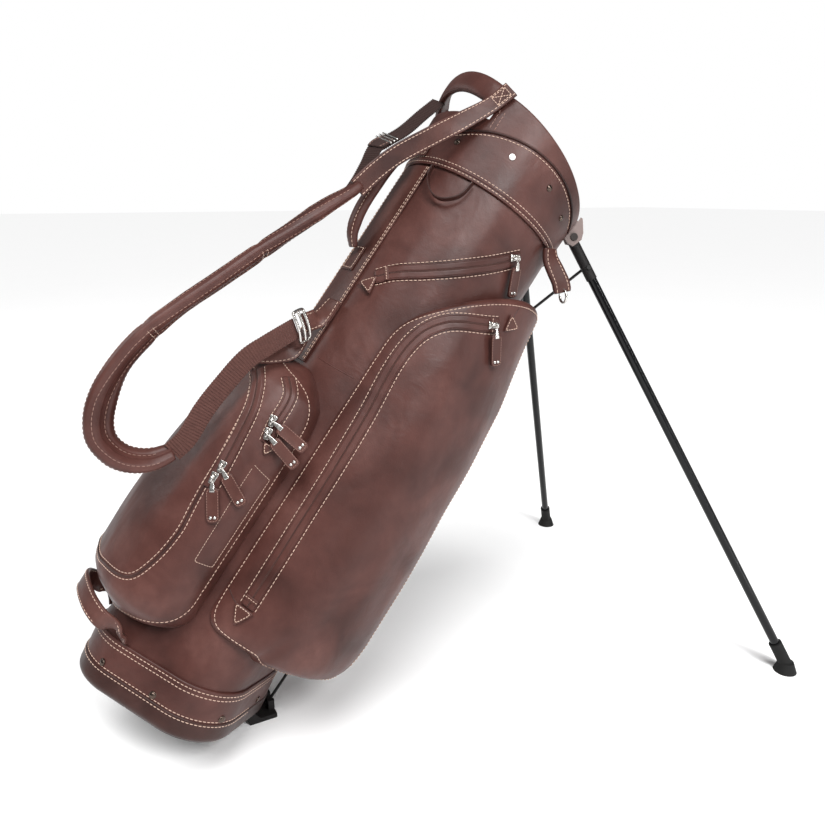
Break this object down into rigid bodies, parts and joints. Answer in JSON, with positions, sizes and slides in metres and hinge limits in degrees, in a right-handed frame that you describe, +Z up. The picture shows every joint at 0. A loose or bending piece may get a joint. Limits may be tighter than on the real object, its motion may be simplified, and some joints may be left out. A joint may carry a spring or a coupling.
{
  "type": "golf bag",
  "caption": "Leather golf bag leaning on two folding legs, with zipped side and ball pockets, padded shoulder strap, lift handle, club divider and foot-operated stand linkage.",
  "frame": {"origin": "middle of the foot lever's pad on the ground", "axes": "+Z up, +X from the base towards the splayed legs, Y across the bag"},
  "size_m": [0.9328, 0.5972, 0.8175],
  "materials": {
    "leather": "smooth, semi-matt",
    "silver": "polished",
    "zip_tape": "woven tape",
    "webbing": "ribbed webbing",
    "antique": "dark antique",
    "pin_steel": "satin",
    "lining": "plain cloth",
    "divider_cloth": "padded cloth",
    "black_plastic": "moulded",
    "grey_plastic": "moulded",
    "rubber": "moulded",
    "stay_aluminium": "drawn",
    "leg_paint": "gloss black",
    "black_wire": "black"
  },
  "bodies": {
    "bag": {"ball_pocket": "leather", "ball_zip_back": "zip_tape", "ball_zip_front": "zip_tape", "base_cuff": "leather", "base_cup": "black_plastic", "base_grab_handle": "leather", "base_rim_band": "leather", "base_sole": "rubber", "base_studs": "antique", "belly_strap": "leather", "body_shell": "leather", "carry_handle": "leather", "club_divider": "divider_cloth", "garment_pocket_far": "leather", "garment_pocket_near": "leather", "garment_zip_far": "zip_tape", "garment_zip_near": "zip_tape", "hinge_pins": "pin_steel", "hinge_yoke": "grey_plastic", "inner_lining": "lining", "rim_band": "leather", "shoulder_pad": "leather", "side_zip": "zip_tape", "slide_buckle": "silver", "spine_strip": "leather", "stay_rods": "stay_aluminium", "strap_anchor": "leather", "strap_far": "webbing", "strap_lower_webbing": "webbing", "strap_near": "leather", "top_cuff": "leather", "top_frame": "black_plastic", "top_handle": "leather", "top_studs": "antique", "towel_loop": "leather", "zip_end_tabs": "leather"},
    "leg_near": {"leg_head_near": "black_plastic", "leg_tube_near": "leg_paint", "leg_foot_near": "rubber"},
    "leg_far": {"leg_head_far": "black_plastic", "leg_tube_far": "leg_paint", "leg_foot_far": "rubber"},
    "rod_near": {"actuating_rod_near": "black_wire"},
    "rod_far": {"actuating_rod_far": "black_wire"},
    "foot_lever": {"foot_lever": "black_plastic"},
    "slider_garment_near": {"slider_garment_near": "silver"},
    "puller_garment_near": {"puller_garment_near": "leather"},
    "slider_side": {"slider_side": "silver"},
    "puller_side": {"puller_side": "leather"},
    "slider_ball_front_low": {"slider_ball_front_low": "silver"},
    "puller_ball_front_low": {"puller_ball_front_low": "leather"},
    "slider_ball_front_high": {"slider_ball_front_high": "silver"},
    "puller_ball_front_high": {"puller_ball_front_high": "leather"},
    "slider_ball_back_low": {"slider_ball_back_low": "silver"},
    "puller_ball_back_low": {"puller_ball_back_low": "leather"},
    "slider_ball_back_high": {"slider_ball_back_high": "silver"},
    "puller_ball_back_high": {"puller_ball_back_high": "leather"},
    "slider_garment_far": {"slider_garment_far": "silver"},
    "puller_garment_far": {"puller_garment_far": "leather"},
    "strap_ring": {"strap_ring": "silver"}
  },
  "joints": [
    {"name": "leg_near_fold", "type": "hinge", "parent": "bag", "child": "leg_near", "pos_m": [0.45517, -0.0578, 0.61459], "axis": [0.2894, 0.9311, -0.222], "range_deg": [0, 60]},
    {"name": "leg_far_fold", "type": "hinge", "parent": "bag", "child": "leg_far", "pos_m": [0.45517, 0.0578, 0.61459], "axis": [-0.2894, 0.9311, 0.222], "range_deg": [0, 60]},
    {"name": "rod_near_pivot", "type": "hinge", "parent": "leg_near", "child": "rod_near", "pos_m": [0.472, -0.07236, 0.57548], "axis": [-0.2894, -0.9311, 0.222], "range_deg": [0, 62.6]},
    {"name": "rod_far_pivot", "type": "hinge", "parent": "leg_far", "child": "rod_far", "pos_m": [0.472, 0.07236, 0.57548], "axis": [0.2894, -0.9311, -0.222], "range_deg": [0, 62.6]},
    {"name": "foot_lever_swing", "type": "hinge", "parent": "bag", "child": "foot_lever", "pos_m": [-0.02031, 0, 0.03912], "axis": [0, 1, 0], "range_deg": [0, 31]},
    {"name": "zip_garment_near", "type": "slide", "parent": "bag", "child": "slider_garment_near", "axis": [-0.9886, -0.0054, 0.1504], "range_m": [0, 0.02]},
    {"name": "pull_garment_near", "type": "hinge", "parent": "slider_garment_near", "child": "puller_garment_near", "pos_m": [0.27951, -0.14604, 0.52418], "axis": [-0.9997, -0.0257, 0], "range_deg": [0, 110]},
    {"name": "zip_side", "type": "slide", "parent": "bag", "child": "slider_side", "axis": [-0.9924, -0.0976, -0.0753], "range_m": [0, 0.024]},
    {"name": "pull_side", "type": "hinge", "parent": "slider_side", "child": "puller_side", "pos_m": [0.32635, -0.11868, 0.59747], "axis": [-0.9946, -0.1039, 0], "range_deg": [0, 110]},
    {"name": "zip_ball_front_low", "type": "slide", "parent": "bag", "child": "slider_ball_front_low", "axis": [-0.5721, -0.1091, -0.8129], "range_m": [0, 0.003]},
    {"name": "pull_ball_front_low", "type": "hinge", "parent": "slider_ball_front_low", "child": "puller_ball_front_low", "pos_m": [-0.04853, -0.09317, 0.37601], "axis": [-0.9087, 0.4174, 0], "range_deg": [0, 110]},
    {"name": "zip_ball_front_high", "type": "slide", "parent": "bag", "child": "slider_ball_front_high", "axis": [0.5721, 0.1091, 0.8129], "range_m": [0, 0.022]},
    {"name": "pull_ball_front_high", "type": "hinge", "parent": "slider_ball_front_high", "child": "puller_ball_front_high", "pos_m": [-0.03851, -0.09247, 0.3871], "axis": [-0.8776, 0.2047, -0.4335], "range_deg": [0, 110]},
    {"name": "zip_ball_back_low", "type": "slide", "parent": "bag", "child": "slider_ball_back_low", "axis": [-0.47, -0.1795, -0.8642], "range_m": [0, 0.002]},
    {"name": "pull_ball_back_low", "type": "hinge", "parent": "slider_ball_back_low", "child": "puller_ball_back_low", "pos_m": [0.01225, -0.10117, 0.41974], "axis": [-0.7991, 0.0955, -0.5935], "range_deg": [0, 110]},
    {"name": "zip_ball_back_high", "type": "slide", "parent": "bag", "child": "slider_ball_back_high", "axis": [0.47, 0.1795, 0.8642], "range_m": [0, 0.018]},
    {"name": "pull_ball_back_high", "type": "hinge", "parent": "slider_ball_back_high", "child": "puller_ball_back_high", "pos_m": [0.0194, -0.09807, 0.43267], "axis": [-0.7271, 0.02, -0.6862], "range_deg": [0, 110]},
    {"name": "zip_garment_far", "type": "slide", "parent": "bag", "child": "slider_garment_far", "axis": [-0.9886, 0.0054, 0.1504], "range_m": [0, 0.02]},
    {"name": "pull_garment_far", "type": "hinge", "parent": "slider_garment_far", "child": "puller_garment_far", "pos_m": [0.27951, 0.14604, 0.52418], "axis": [0.9997, -0.0257, 0], "range_deg": [0, 110]},
    {"name": "ring_swing", "type": "hinge", "parent": "bag", "child": "strap_ring", "pos_m": [0.39733, -0.1177, 0.55662], "axis": [-0.1879, -0.9785, 0.0846], "range_deg": [-20, 20]}
  ],
  "couplings": [
    {"joint": "leg_far_fold", "follows": "leg_near_fold", "ratio": 1},
    {"joint": "rod_near_pivot", "follows": "leg_near_fold", "ratio": 1.0433},
    {"joint": "rod_far_pivot", "follows": "leg_near_fold", "ratio": 1.0433},
    {"joint": "foot_lever_swing", "follows": "leg_near_fold", "ratio": 0.51667}
  ]
}
